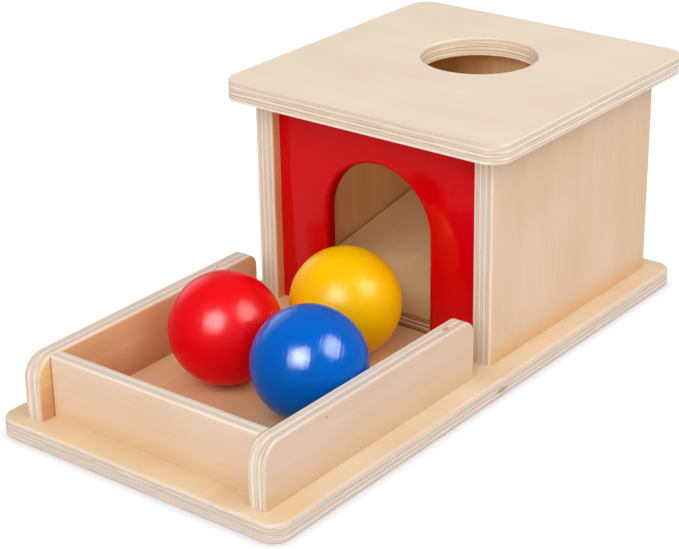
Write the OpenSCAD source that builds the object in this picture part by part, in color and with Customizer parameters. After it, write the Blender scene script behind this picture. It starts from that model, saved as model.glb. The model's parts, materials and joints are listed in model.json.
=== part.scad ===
// Object permanence box: a plywood box on a base board. A ball posted through
// the hole in the top rolls down a ramp, out of the arched doorway in the red
// front and into a railed tray. Millimetres, +Z up, the tray at -Y, the box at
// +Y. The origin is the middle of the base board's underside.

/* [Balls] */
// Diameter of a ball
ball_d = 50; // [46:0.5:56]
// Sideways place of the yellow ball, from the middle of the tray
yellow_x = 6.5; // [0:0.5:8]
// Room between the yellow ball and the front panel
yellow_panel_room = 7; // [4:0.5:12]
// How much farther than touching the blue ball lies in front of the yellow one
blue_yellow_room = 6; // [4:0.5:12]
// Distance of the red ball behind the blue one beside it
red_behind_blue = 5; // [0:0.5:6]

/* [Base board] */
// Thickness of the base board
base_t = 9; // [7:0.5:12]
// Bare strip of base board beside the box, on each side
base_side_margin = 11; // [8:0.5:16]
// Bare strip of base board behind the box
base_back_margin = 10; // [8:0.5:16]
// Bare strip of base board in front of the side rails
base_front_margin = 7; // [4:0.5:14]
// Radius of the base board's corners, seen from above
base_corner_r = 8; // [4:0.5:14]
// Rounding of the base board's edges
base_edge_r = 1.5; // [0.5:0.1:3]

/* [Box walls] */
// Length of the side walls, front to back
wall_l = 133; // [115:1:160]
// Height of the side walls
wall_h = 99; // [85:1:120]
// Thickness of the side walls
wall_t = 10; // [8:0.5:12]
// Rounding of the side walls' upright edges
wall_edge_r = 1; // [0.4:0.1:2]
// Depth of the grooves in the side walls that hold the two panels
groove_depth = 3; // [2:0.5:4]

/* [Panels] */
// Thickness of the red front panel
front_panel_t = 6; // [4:0.5:8]
// Distance of the front panel behind the side walls' front edges
front_panel_setback = 5; // [3:0.5:10]
// Thickness of the back panel
back_panel_t = 6; // [4:0.5:8]
// Distance of the back panel in from the side walls' rear edges
back_panel_setback = 5; // [3:0.5:10]
// Room that the doorway leaves beside a ball, both sides together
doorway_spare_w = 7; // [4:0.5:12]
// Height of the front panel above the crown of the doorway
doorway_header_h = 21; // [12:0.5:30]

/* [Top board] */
// Thickness of the top board
top_t = 9; // [8:0.5:12]
// Overhang of the top board in front of the side walls
top_front_overhang = 12; // [6:0.5:18]
// Overhang of the top board behind the side walls
top_back_overhang = 12; // [6:0.5:18]
// Overhang of the top board beside the side walls, on each side
top_side_overhang = 10.5; // [6:0.5:16]
// Radius of the top board's corners, seen from above
top_corner_r = 10; // [4:0.5:14]
// Rounding of the top board's edges
top_edge_r = 1; // [0.5:0.1:2]
// Room that the ball hole leaves round a ball, on the diameter
ball_hole_spare = 5; // [3:0.5:10]
// Distance of the ball hole behind the middle of the top board
ball_hole_back = 18.5; // [0:0.5:22]

/* [Ramp] */
// Thickness of the ramp board
ramp_t = 6; // [4:0.5:9]
// Slope of the ramp in degrees
ramp_slope = 9.2; // [6:0.1:14]
// Rounding of the ramp's front top edge
ramp_edge_r = 1.5; // [0.5:0.1:2.5]
// Depth, front to back, of the bearer strip under the ramp's rear end
bearer_d = 12; // [8:1:20]
// Open gap beside the ramp and its bearer, on each side
ramp_side_gap = 0.5; // [0.1:0.1:1]

/* [Tray] */
// Room that the tray leaves beside two balls lying side by side
tray_spare_w = 13; // [8:0.5:30]
// Length of the side rails
rail_l = 140; // [125:1:170]
// Height of the side rails
rail_h = 28; // [22:0.5:36]
// Thickness of the side rails
rail_t = 9; // [7:0.5:12]
// Radius of the side rails' front top corners
rail_front_r = 10; // [6:0.5:14]
// Radius of the side rails' rear top corners
rail_rear_r = 6; // [3:0.5:10]
// Rounding of the rails' long edges
rail_edge_r = 1; // [0.4:0.1:2]
// Open gap between the side rails and the box
rail_box_gap = 13; // [8:0.5:20]
// Height of the front rail
front_rail_h = 28; // [20:0.5:34]
// Thickness of the front rail
front_rail_t = 7.5; // [6:0.5:10]
// Distance of the front rail behind the side rails' front ends
front_rail_setback = 7; // [3:0.5:12]

/* [Fasteners] */
// Diameter of the wood screws
screw_d = 3.5; // [3:0.1:4]
// Length of the wood screws, head included
screw_l = 25; // [20:1:30]
// Diameter of the screws' countersunk heads
screw_head_d = 7; // [6:0.1:8]
// Diameter of the dowels between the top board and the side walls
dowel_d = 5; // [4:0.5:6]
// Depth of the dowels in the side walls
dowel_wall_depth = 12; // [8:1:20]

/* [Hidden] */
$fn = 64;
// Play of glued and screwed joints
joint_gap = 0.1;
// Room between a loose ball and whatever it lies against
ball_gap = 0.3;
// Overrun of the cuts past the faces that they open
cut_over = 1;
// Depth of the screw heads below the base board's underside
screw_recess = 0.3;
// Height of a screw's countersunk head and of its point
screw_head_h = 2.2;
screw_point_l = 4;
// Wood left above the dowel holes in the top board
dowel_cover = 3;
// Air left at each end of a dowel
dowel_end_gap = 0.5;
// Places of the fasteners along the pieces that they hold
wall_screw_shares = [0.16, 0.84];
wall_dowel_shares = [0.28, 0.72];
rail_screw_shares = [0.22, 0.86];
front_rail_screw_shares = [0.2, 0.8];

// Widths: the side rails' outer faces line up with the side walls'
tray_w = 2 * ball_d + tray_spare_w;
box_w = tray_w + 2 * rail_t;
chamber_w = box_w - 2 * wall_t;
panel_w = chamber_w + 2 * (groove_depth - joint_gap);
wall_mid_x = (box_w - wall_t) / 2;
rail_mid_x = (box_w - rail_t) / 2;

// Outer sizes of the two boards
base_w = box_w + 2 * base_side_margin;
base_l = base_front_margin + rail_l + rail_box_gap + wall_l + base_back_margin;
top_w = box_w + 2 * top_side_overhang;
top_l = top_front_overhang + wall_l + top_back_overhang;

// Places along Y, from the tray to the back
rail_front_y = -base_l / 2 + base_front_margin;
front_rail_y = rail_front_y + front_rail_setback;
wall_front_y = rail_front_y + rail_l + rail_box_gap;
wall_back_y = wall_front_y + wall_l;
wall_mid_y = (wall_front_y + wall_back_y) / 2;
front_panel_y = wall_front_y + front_panel_setback;
back_panel_y = wall_back_y - back_panel_setback - back_panel_t;
top_mid_y = wall_mid_y + (top_back_overhang - top_front_overhang) / 2;
ball_hole_y = top_mid_y + ball_hole_back;

// Height of the top board's underside
top_z = base_t + wall_h;

// Doorway: upright jambs under a half-round crown
doorway_w = ball_d + doorway_spare_w;
doorway_spring_h = wall_h - doorway_header_h - doorway_w / 2;

// Ramp: its rear end leans on the back panel, its front edge on the base board
ramp_front_y = front_panel_y + front_panel_t + joint_gap;
ramp_rear_y = back_panel_y - joint_gap;
ramp_front_h = ramp_t / cos(ramp_slope);
ramp_w = chamber_w - 2 * ramp_side_gap;

// Ball places: blue lies against the right rail, red beside it, yellow behind
ball_z = base_t + ball_gap + ball_d / 2;
yellow_y = front_panel_y - yellow_panel_room - ball_d / 2;
blue_x = tray_w / 2 - ball_gap - ball_d / 2;
blue_y = yellow_y - blue_yellow_room - ball_d;
red_x = blue_x - ball_gap - ball_d;
red_y = blue_y + red_behind_blue;

// Fastener places as [x, y]
wall_screw_xy = [for (s = [-1, 1], share = wall_screw_shares)
    [s * wall_mid_x, wall_front_y + share * wall_l]];
wall_dowel_xy = [for (s = [-1, 1], share = wall_dowel_shares)
    [s * wall_mid_x, wall_front_y + share * wall_l]];
rail_screw_xy = [for (s = [-1, 1], share = rail_screw_shares)
    [s * rail_mid_x, rail_front_y + share * rail_l]];
front_rail_screw_xy = [for (share = front_rail_screw_shares)
    [(share - 0.5) * tray_w, front_rail_y + front_rail_t / 2]];
all_screw_xy = concat(wall_screw_xy, rail_screw_xy, front_rail_screw_xy);

// Colours
plywood = "#E6D3BA";
ramp_wood = "#D9BF9E";
dowel_wood = "#D8B98C";
lacquer_red = "#CC0A12";
paint_red = "#E00A1E";
paint_yellow = "#FFC400";
paint_blue = "#0A58BE";
zinc = "#C9CCD0";

// Rectangle with rounded corners, centred
module rounded_rect(w, h, r) {
    square([w - 2 * r, h], center = true);
    square([w, h - 2 * r], center = true);
    for (x = [-1, 1], y = [-1, 1])
        translate([x * (w / 2 - r), y * (h / 2 - r)])
            circle(r);
}

// Half of a rounded_rect, from its middle line outwards
module half_rounded_rect(reach, h, r) {
    translate([0, -h / 2])
        square([reach - r, h]);
    translate([0, r - h / 2])
        square([reach, h - 2 * r]);
    for (y = [-1, 1])
        translate([reach - r, y * (h / 2 - r)])
            circle(r);
}

// Flat board with rounded corners and eased edges, standing on z = 0
module eased_board(w, l, t, corner_r, edge_r) {
    translate([0, 0, t / 2]) {
        rotate([90, 0, 0])
            linear_extrude(l - 2 * corner_r, center = true)
                rounded_rect(w, t, edge_r);
        rotate([90, 0, 90])
            linear_extrude(w - 2 * corner_r, center = true)
                rounded_rect(l, t, edge_r);
        for (x = [-1, 1], y = [-1, 1])
            translate([x * (w / 2 - corner_r), y * (l / 2 - corner_r), 0])
                rotate_extrude()
                    half_rounded_rect(corner_r, t, edge_r);
    }
}

// Countersunk wood screw, head down, its head's face on z = 0
module wood_screw() {
    rotate_extrude()
        polygon([
            [0, 0],
            [screw_head_d / 2, 0],
            [screw_d / 2, screw_head_h],
            [screw_d / 2, screw_l - screw_point_l],
            [0, screw_l]
        ]);
}

// Room for a wood screw, open at the head end
module screw_hole() {
    head_r = screw_head_d / 2 + joint_gap;
    shank_r = screw_d / 2 + joint_gap;
    rotate_extrude()
        polygon([
            [0, -cut_over],
            [head_r, -cut_over],
            [head_r, 0],
            [shank_r, screw_head_h],
            [shank_r, screw_l + joint_gap],
            [0, screw_l + joint_gap]
        ]);
}

module at_screws(places) {
    for (p = places)
        translate([p[0], p[1], screw_recess])
            children();
}

// Dowel, or with a gap the hole for it, across the joint under the top board
module top_dowel(side_gap, end_gap) {
    lower = dowel_wall_depth - end_gap;
    upper = top_t - dowel_cover - end_gap;
    translate([0, 0, top_z - lower])
        cylinder(h = lower + upper, d = dowel_d + 2 * side_gap);
}

module at_dowels() {
    for (p = wall_dowel_xy)
        translate([p[0], p[1], 0])
            children();
}

// Groove that takes the edge of a panel, in the right wall's inner face
module panel_groove(panel_y, panel_t) {
    translate([chamber_w / 2 - cut_over, panel_y - joint_gap, base_t - cut_over])
        cube([groove_depth + cut_over, panel_t + 2 * joint_gap, wall_h + 2 * cut_over]);
}

// Side rail along Y on z = 0, its front end at y = 0: a straight top, two ends
// and two rounded corners, all with the same eased edges
module eased_rail() {
    top_straight_l = rail_l - rail_front_r - rail_rear_r;
    translate([0, rail_front_r + top_straight_l / 2, 0])
        rotate([90, 0, 0])
            linear_extrude(top_straight_l, center = true)
                rotate(90)
                    half_rounded_rect(rail_h, rail_t, rail_edge_r);
    translate([0, rail_l / 2, 0]) {
        linear_extrude(rail_h - rail_front_r)
            rotate(-90)
                half_rounded_rect(rail_l / 2, rail_t, rail_edge_r);
        linear_extrude(rail_h - rail_rear_r)
            rotate(90)
                half_rounded_rect(rail_l / 2, rail_t, rail_edge_r);
    }
    translate([0, rail_front_r, rail_h - rail_front_r])
        rotate([0, 90, 0])
            rotate_extrude()
                half_rounded_rect(rail_front_r, rail_t, rail_edge_r);
    translate([0, rail_l - rail_rear_r, rail_h - rail_rear_r])
        rotate([0, 90, 0])
            rotate_extrude()
                half_rounded_rect(rail_rear_r, rail_t, rail_edge_r);
}

// Upright board of length l on z = 0 with eased top and end edges, along Y
module eased_upright(l, h, t, edge_r) {
    intersection() {
        linear_extrude(h)
            rounded_rect(t, l, edge_r);
        rotate([90, 0, 0])
            linear_extrude(l, center = true)
                translate([0, h / 2 - edge_r / 2])
                    rounded_rect(t, h + edge_r, edge_r);
    }
}

// Side wall on the right, with grooves, dowel holes and screw holes
module wall_body() {
    difference() {
        translate([wall_mid_x, wall_mid_y, base_t])
            linear_extrude(wall_h)
                rounded_rect(wall_t, wall_l, wall_edge_r);
        panel_groove(front_panel_y, front_panel_t);
        panel_groove(back_panel_y, back_panel_t);
        at_dowels()
            top_dowel(joint_gap, 0);
        at_screws(wall_screw_xy)
            screw_hole();
    }
}

// Side rail on the right
module rail_body() {
    difference() {
        translate([rail_mid_x, rail_front_y, base_t])
            eased_rail();
        at_screws(rail_screw_xy)
            screw_hole();
    }
}

module base_board() {
    color(plywood)
        difference() {
            eased_board(base_w, base_l, base_t, base_corner_r, base_edge_r);
            at_screws(all_screw_xy)
                screw_hole();
        }
}

module right_wall() {
    color(plywood)
        wall_body();
}

module left_wall() {
    color(plywood)
        mirror([1, 0, 0])
            wall_body();
}

module front_panel() {
    color(lacquer_red)
        translate([0, front_panel_y + front_panel_t, base_t])
            rotate([90, 0, 0])
                linear_extrude(front_panel_t)
                    difference() {
                        translate([-panel_w / 2, 0])
                            square([panel_w, wall_h]);
                        translate([-doorway_w / 2, -cut_over])
                            square([doorway_w, doorway_spring_h + cut_over]);
                        translate([0, doorway_spring_h])
                            circle(doorway_w / 2);
                    }
}

module back_panel() {
    color(plywood)
        translate([-panel_w / 2, back_panel_y, base_t])
            cube([panel_w, back_panel_t, wall_h]);
}

module top_board() {
    color(plywood)
        difference() {
            translate([0, top_mid_y, top_z])
                eased_board(top_w, top_l, top_t, top_corner_r, top_edge_r);
            translate([0, ball_hole_y, top_z - cut_over])
                cylinder(h = top_t + 2 * cut_over, d = ball_d + ball_hole_spare);
            at_dowels()
                top_dowel(joint_gap, 0);
        }
}

module ramp() {
    run = ramp_rear_y - ramp_front_y;
    rise = run * tan(ramp_slope);
    color(ramp_wood)
        translate([0, ramp_front_y, base_t])
            rotate([90, 0, 90])
                linear_extrude(ramp_w, center = true)
                    difference() {
                        polygon([
                            [0, 0],
                            [run, rise],
                            [run, rise + ramp_front_h],
                            [0, ramp_front_h]
                        ]);
                        ramp_front_easing();
                    }
}

// What the rounding takes off the ramp's front top edge
module ramp_front_easing() {
    tangent = ramp_edge_r * tan((90 - ramp_slope) / 2);
    centre = [ramp_edge_r, ramp_front_h - tangent];
    difference() {
        polygon([
            [-cut_over, centre[1]],
            [centre[0], centre[1]],
            centre + ramp_edge_r * [-sin(ramp_slope), cos(ramp_slope)],
            [0, ramp_front_h],
            [-cut_over, ramp_front_h]
        ]);
        translate(centre)
            circle(ramp_edge_r);
    }
}

module ramp_bearer() {
    reach = ramp_rear_y - ramp_front_y;
    color(dowel_wood)
        translate([0, ramp_front_y, base_t])
            rotate([90, 0, 90])
                linear_extrude(ramp_w, center = true)
                    polygon([
                        [reach - bearer_d, 0],
                        [reach, 0],
                        [reach, reach * tan(ramp_slope)],
                        [reach - bearer_d, (reach - bearer_d) * tan(ramp_slope)]
                    ]);
}

module right_rail() {
    color(plywood)
        rail_body();
}

module left_rail() {
    color(plywood)
        mirror([1, 0, 0])
            rail_body();
}

module front_rail() {
    color(plywood)
        difference() {
            translate([0, front_rail_y + front_rail_t / 2, base_t])
                rotate([0, 0, 90])
                    eased_upright(tray_w - 2 * joint_gap, front_rail_h, front_rail_t, rail_edge_r);
            at_screws(front_rail_screw_xy)
                screw_hole();
        }
}

module wall_screws() {
    color(zinc)
        at_screws(wall_screw_xy)
            wood_screw();
}

module rail_screws() {
    color(zinc)
        at_screws(rail_screw_xy)
            wood_screw();
}

module front_rail_screws() {
    color(zinc)
        at_screws(front_rail_screw_xy)
            wood_screw();
}

module top_dowels() {
    color(dowel_wood)
        at_dowels()
            top_dowel(0, dowel_end_gap);
}

module red_ball() {
    color(paint_red)
        translate([red_x, red_y, ball_z])
            sphere(d = ball_d);
}

module yellow_ball() {
    color(paint_yellow)
        translate([yellow_x, yellow_y, ball_z])
            sphere(d = ball_d);
}

module blue_ball() {
    color(paint_blue)
        translate([blue_x, blue_y, ball_z])
            sphere(d = ball_d);
}

base_board();
left_wall();
right_wall();
front_panel();
back_panel();
top_board();
ramp();
ramp_bearer();
left_rail();
right_rail();
front_rail();
wall_screws();
rail_screws();
front_rail_screws();
top_dowels();
red_ball();
yellow_ball();
blue_ball();
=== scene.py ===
import json
import math

import bmesh
import bpy
from mathutils import Matrix, Vector, noise


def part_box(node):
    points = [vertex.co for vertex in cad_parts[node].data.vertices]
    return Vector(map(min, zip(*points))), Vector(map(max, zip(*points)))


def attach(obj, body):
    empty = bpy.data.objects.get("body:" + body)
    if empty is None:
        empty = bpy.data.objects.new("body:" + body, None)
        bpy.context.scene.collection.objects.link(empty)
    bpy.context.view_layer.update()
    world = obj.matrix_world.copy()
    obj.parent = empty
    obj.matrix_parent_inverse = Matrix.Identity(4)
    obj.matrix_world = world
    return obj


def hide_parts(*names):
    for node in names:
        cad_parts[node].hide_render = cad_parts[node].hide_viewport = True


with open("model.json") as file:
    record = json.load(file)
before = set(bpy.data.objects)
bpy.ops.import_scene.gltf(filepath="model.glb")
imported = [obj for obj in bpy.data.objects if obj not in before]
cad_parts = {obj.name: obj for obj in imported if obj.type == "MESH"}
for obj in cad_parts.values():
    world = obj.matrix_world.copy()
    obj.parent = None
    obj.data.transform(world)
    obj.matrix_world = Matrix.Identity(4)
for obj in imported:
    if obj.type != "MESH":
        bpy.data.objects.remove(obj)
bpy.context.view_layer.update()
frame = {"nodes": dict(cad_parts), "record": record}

mm = 0.001  # all sizes below are millimetres, the scene is in metres
tiny = 1e-6  # metres, under which two points are one
scene = bpy.context.scene
scene.view_settings.view_transform = "Standard"
print("frame loaded:", len(frame["nodes"]), "nodes")


def linearColor(hexText):
    channels = [int(hexText[i:i + 2], 16) / 255 for i in (1, 3, 5)]
    return [c / 12.92 if c <= 0.04045 else ((c + 0.055) / 1.055) ** 2.4 for c in channels] + [1.0]


# adds one node: sockets takes values or the sockets to link from
def addNode(tree, kind, sockets=None, **settings):
    node = tree.nodes.new(kind)
    for name, value in settings.items():
        setattr(node, name, value)
    for name, value in (sockets or {}).items():
        if isinstance(value, bpy.types.NodeSocket):
            tree.links.new(value, node.inputs[name])
        else:
            node.inputs[name].default_value = value
    return node


def newMaterial(name):
    material = bpy.data.materials.new(name)
    material.use_nodes = True
    material.node_tree.nodes.clear()
    return material, material.node_tree


def newPiece(name, shape):
    mesh = bpy.data.meshes.new(name)
    shape.to_mesh(mesh)
    shape.free()
    piece = bpy.data.objects.new(name, mesh)
    scene.collection.objects.link(piece)
    return piece


# evaluates the modifiers into a plain mesh and drops them
def bakeModifiers(piece):
    graph = bpy.context.evaluated_depsgraph_get()
    mesh = bpy.data.meshes.new_from_object(piece.evaluated_get(graph))
    piece.modifiers.clear()
    piece.data = mesh
    mesh.name = piece.name


# camera: solved from the photo's edges, image 679 x 549
viewer = {
    "place": (0.48752, -0.62743, 0.39664),
    "turn": (65.778, 0.9833, 38.0442),  # degrees
    "lens": 103.068,
    "sensor": 36.0,
}
cameraData = bpy.data.cameras.new("viewer")
cameraData.lens, cameraData.sensor_width = viewer["lens"], viewer["sensor"]
camera = bpy.data.objects.new("viewer", cameraData)
camera.location = viewer["place"]
camera.rotation_euler = [math.radians(a) for a in viewer["turn"]]
scene.collection.objects.link(camera)
scene.camera = camera
print("camera set")


# where a CAD node sits, in millimetres
def nodeBox(node):
    low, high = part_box(node)
    return low / mm, high / mm


# plywood: sanded veneers glued crosswise, clear satin varnish. Faces are pale and even with
# faint long fibres; edges show the plies, light where the fibres run along the edge,
# greyer where they are cut across, with fine glue lines between.
# Each pattern has its cell along the grain, across it and through the board, and its detail
plyPatterns = {
    "fibre": (42.0, 0.9, 0.9, 3),  # drawn three times coarser than real fibres, to show
    "crossFibre": (0.9, 42.0, 0.9, 2),
    "band": (260.0, 13.0, 13.0, 2),
    "fleck": (4.5, 0.55, 0.55, 1),
    "speckle": (0.6, 0.6, 0.6, 2),
    "drift": (90.0, 90.0, 3.4, 1),
    "wobble": (12.0, 12.0, 2.0, 1),
    "broken": (17.0, 17.0, 1.3, 2),
    "blotch": (46.0, 46.0, 46.0, 1),
}
plyMake = {
    "wander": {"drift": 0.7, "wobble": 0.35},  # how far the plies rise and fall
    "seedStep": (371.0, 113.0, 0.0), "lineSeed": 31.0, "plySeed": 17.0, "noiseRough": 0.55,
    "lastPly": 0.01, "glueShares": (0.2, 0.8),
    "lineFaint": 0.4, "brokenRange": (0.35, 0.6), "brokenFaint": 0.25,  # glue lines come and go
    "acrossRange": (0.25, 0.8), "faceRange": (0.5, 0.85), "inwardTurn": 0.5,
    "toneRange": (0.75, 1.25), "streakRange": (0.3, 0.7), "streakLift": 0.6, "fleckRange": (0.66, 0.78),
    "edgeRange": (0.25, 0.75), "edgeTone": (0.92, 1.06), "ownTone": (0.94, 1.04),
    "knotRagged": 0.7, "knotRange": (0.35, 1.0), "knotDeep": 0.75,
    "endRough": 0.16, "fibreRough": 0.1, "glueSunk": -0.5, "bump": 0.15, "bumpDeep": 0.12, "ior": 1.3,
}


def plywoodMaterial(node, look):
    material, tree = newMaterial(look["name"])
    along, through = Vector(look["grain"]), Vector(look["through"])
    turn = Matrix((along, through.cross(along), through)).to_euler()
    low, high = nodeBox(node)
    thick = look.get("thick", (high - low).dot(through))
    coords = addNode(tree, "ShaderNodeTexCoord")
    board = addNode(tree, "ShaderNodeMapping", {
        "Vector": coords.outputs["Object"], "Rotation": turn,
        "Scale": (1 / mm, 1 / mm, 1 / mm), "Location": (0, 0, -low.dot(through))}).outputs[0]
    facing = addNode(tree, "ShaderNodeMapping", {
        "Vector": coords.outputs["Normal"], "Rotation": turn}, vector_type="VECTOR").outputs[0]
    depth = addNode(tree, "ShaderNodeSeparateXYZ", {0: board}).outputs[2]
    side = addNode(tree, "ShaderNodeSeparateXYZ", {0: facing}).outputs[2]
    tilt = addNode(tree, "ShaderNodeVectorMath", {0: facing}, operation="ABSOLUTE").outputs[0]
    tilt = addNode(tree, "ShaderNodeSeparateXYZ", {0: tilt})
    seeded = addNode(tree, "ShaderNodeVectorMath", {
        0: board, 1: look["seed"] * Vector(plyMake["seedStep"])}, operation="ADD").outputs[0]

    patterns = {}
    for key, (*cells, detail) in plyPatterns.items():
        scaled = addNode(tree, "ShaderNodeVectorMath", {
            0: seeded, 1: [1 / c for c in cells]}, operation="MULTIPLY").outputs[0]
        patterns[key] = addNode(tree, "ShaderNodeTexNoise", {
            "Vector": scaled, "Scale": 1.0, "Detail": detail,
            "Roughness": plyMake["noiseRough"]}).outputs["Fac"]

    # which ply: 0 is the lower face veneer, even plies lie along the face grain
    inner = (thick - 2 * look["faceVeneer"]) / (look["plies"] - 2)
    level = depth
    for key, far in plyMake["wander"].items():
        wander = addNode(tree, "ShaderNodeMapRange", {
            "Value": patterns[key], "To Min": -far / 2, "To Max": far / 2}).outputs[0]
        level = addNode(tree, "ShaderNodeMath", {0: level, 1: wander}, operation="ADD").outputs[0]
    level = addNode(tree, "ShaderNodeMapRange", {
        "Value": level, "From Min": look["faceVeneer"] - inner, "From Max": look["faceVeneer"],
        "To Min": 0.0, "To Max": 1.0}, clamp=False).outputs[0]
    level = addNode(tree, "ShaderNodeClamp", {
        "Value": level, "Min": 0.0, "Max": look["plies"] - plyMake["lastPly"]}).outputs[0]
    number = addNode(tree, "ShaderNodeMath", {0: level}, operation="FLOOR").outputs[0]
    odd = addNode(tree, "ShaderNodeMath", {0: number, 1: 2.0}, operation="MODULO").outputs[0]
    plyTone = addNode(tree, "ShaderNodeMath", {0: number, 1: look["seed"] * plyMake["plySeed"]}).outputs[0]
    plyTone = addNode(tree, "ShaderNodeTexWhiteNoise", {
        "W": plyTone}, noise_dimensions="1D").outputs["Value"]

    # glue lines between the plies, each with its own strength
    line = addNode(tree, "ShaderNodeMath", {0: level}, operation="ROUND").outputs[0]
    offLine = addNode(tree, "ShaderNodeMath", {0: level, 1: line}, operation="SUBTRACT").outputs[0]
    offLine = addNode(tree, "ShaderNodeMath", {0: offLine}, operation="ABSOLUTE").outputs[0]
    lineTone = addNode(tree, "ShaderNodeMath", {0: line, 1: look["seed"] * plyMake["lineSeed"]}).outputs[0]
    lineTone = addNode(tree, "ShaderNodeTexWhiteNoise", {
        "W": lineTone}, noise_dimensions="1D").outputs["Value"]
    lineTone = addNode(tree, "ShaderNodeMapRange", {
        "Value": lineTone, "To Min": plyMake["lineFaint"]}).outputs[0]
    unbroken = addNode(tree, "ShaderNodeMapRange", {
        "Value": patterns["broken"], "From Min": plyMake["brokenRange"][0],
        "From Max": plyMake["brokenRange"][1], "To Min": plyMake["brokenFaint"]}).outputs[0]
    lineTone = addNode(tree, "ShaderNodeMath", {0: lineTone, 1: unbroken}, operation="MULTIPLY").outputs[0]
    glueCore, glueRim = (share * look["glueWide"] / inner for share in plyMake["glueShares"])
    glue = addNode(tree, "ShaderNodeMapRange", {
        "Value": offLine, "From Min": glueCore, "From Max": glueRim,
        "To Min": lineTone, "To Max": 0.0}, interpolation_type="SMOOTHSTEP").outputs[0]

    # cut across the fibres: the normal lies along the ply's own grain
    cutAcross = addNode(tree, "ShaderNodeMix", {
        0: odd, 2: tilt.outputs[0], 3: tilt.outputs[1]}).outputs[0]
    cutAcross = addNode(tree, "ShaderNodeMapRange", {
        "Value": cutAcross, "From Min": plyMake["acrossRange"][0],
        "From Max": plyMake["acrossRange"][1]}, interpolation_type="SMOOTHSTEP").outputs[0]
    onFace = addNode(tree, "ShaderNodeMapRange", {
        "Value": tilt.outputs[2], "From Min": plyMake["faceRange"][0],
        "From Max": plyMake["faceRange"][1]}, interpolation_type="SMOOTHSTEP").outputs[0]
    onEdge = addNode(tree, "ShaderNodeMath", {0: 1.0, 1: onFace}, operation="SUBTRACT").outputs[0]

    # face: two near tones in bands and blotches, then fibres and flecks; the inner side (towards the balls)
    # is warmer, partly its own veneer tone and partly painted bounce light, and lighter as painted light
    # against the shade inside the box
    toneMix = addNode(tree, "ShaderNodeMath", {
        0: patterns["band"], 1: patterns["blotch"]}, operation="ADD").outputs[0]
    toneMix = addNode(tree, "ShaderNodeMapRange", {
        "Value": toneMix, "From Min": plyMake["toneRange"][0],
        "From Max": plyMake["toneRange"][1]}).outputs[0]
    face = addNode(tree, "ShaderNodeMix", {
        0: toneMix, 6: linearColor(look["pale"]), 7: linearColor(look["warm"])},
        data_type="RGBA").outputs[2]
    if "inside" in look:
        innerFace = addNode(tree, "ShaderNodeMix", {
            0: toneMix, 6: linearColor(look["innerPale"]), 7: linearColor(look["innerWarm"])},
            data_type="RGBA").outputs[2]
        inward = addNode(tree, "ShaderNodeMath", {
            0: side, 1: look["inside"]}, operation="MULTIPLY").outputs[0]
        inward = addNode(tree, "ShaderNodeMapRange", {
            "Value": inward, "From Max": plyMake["inwardTurn"]}).outputs[0]
        face = addNode(tree, "ShaderNodeMix", {
            0: inward, 6: face, 7: innerFace}, data_type="RGBA").outputs[2]
    streak = addNode(tree, "ShaderNodeMapRange", {
        "Value": patterns["fibre"], "From Min": plyMake["streakRange"][0],
        "From Max": plyMake["streakRange"][1], "To Min": 1.0 - look["contrast"],
        "To Max": 1.0 + look["contrast"] * plyMake["streakLift"]}).outputs[0]
    fleck = addNode(tree, "ShaderNodeMapRange", {
        "Value": patterns["fleck"], "From Min": plyMake["fleckRange"][0],
        "From Max": plyMake["fleckRange"][1], "To Min": 1.0, "To Max": 1.0 - look["contrast"]}).outputs[0]
    streak = addNode(tree, "ShaderNodeMath", {0: streak, 1: fleck}, operation="MULTIPLY").outputs[0]
    face = addNode(tree, "ShaderNodeVectorMath", {0: face, 3: streak}, operation="SCALE").outputs[0]

    # painted shade and bounce light: near where boards meet, and along the ramp's sides and foot, the face
    # is tinted darker and warmer
    for axis, place, reach, cornerShade in look["corners"]:
        away = addNode(tree, "ShaderNodeVectorMath", {
            0: coords.outputs["Object"], 1: axis}, operation="DOT_PRODUCT").outputs["Value"]
        away = addNode(tree, "ShaderNodeMath", {0: away, 1: place * mm}, operation="SUBTRACT").outputs[0]
        away = addNode(tree, "ShaderNodeMath", {0: away}, operation="ABSOLUTE").outputs[0]
        shadeWeight = addNode(tree, "ShaderNodeMapRange", {
            "Value": away, "From Max": reach * mm, "To Min": 1.0, "To Max": 0.0},
            interpolation_type="SMOOTHSTEP").outputs[0]
        face = addNode(tree, "ShaderNodeMix", {
            0: shadeWeight, 6: face, 7: linearColor(cornerShade)},
            data_type="RGBA", blend_type="MULTIPLY").outputs[2]

    # edge: plies in turn, each with its own tone, speckled end grain, glue lines
    edge = addNode(tree, "ShaderNodeMix", {
        0: cutAcross, 6: linearColor(look["edgeLight"]), 7: linearColor(look["edgeDark"])},
        data_type="RGBA").outputs[2]
    edgeFibre = addNode(tree, "ShaderNodeMix", {
        0: odd, 2: patterns["fibre"], 3: patterns["crossFibre"]}).outputs[0]
    edgeFibre = addNode(tree, "ShaderNodeMix", {
        0: cutAcross, 2: edgeFibre, 3: patterns["speckle"]}).outputs[0]
    edgeTone = addNode(tree, "ShaderNodeMapRange", {
        "Value": edgeFibre, "From Min": plyMake["edgeRange"][0], "From Max": plyMake["edgeRange"][1],
        "To Min": plyMake["edgeTone"][0], "To Max": plyMake["edgeTone"][1]}).outputs[0]
    ownTone = addNode(tree, "ShaderNodeMapRange", {
        "Value": plyTone, "To Min": plyMake["ownTone"][0], "To Max": plyMake["ownTone"][1]}).outputs[0]
    edgeTone = addNode(tree, "ShaderNodeMath", {0: edgeTone, 1: ownTone}, operation="MULTIPLY").outputs[0]
    edge = addNode(tree, "ShaderNodeVectorMath", {0: edge, 3: edgeTone}, operation="SCALE").outputs[0]
    edge = addNode(tree, "ShaderNodeMix", {
        0: glue, 6: edge, 7: linearColor(look["glue"])},
        data_type="RGBA", blend_type="MULTIPLY").outputs[2]
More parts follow.
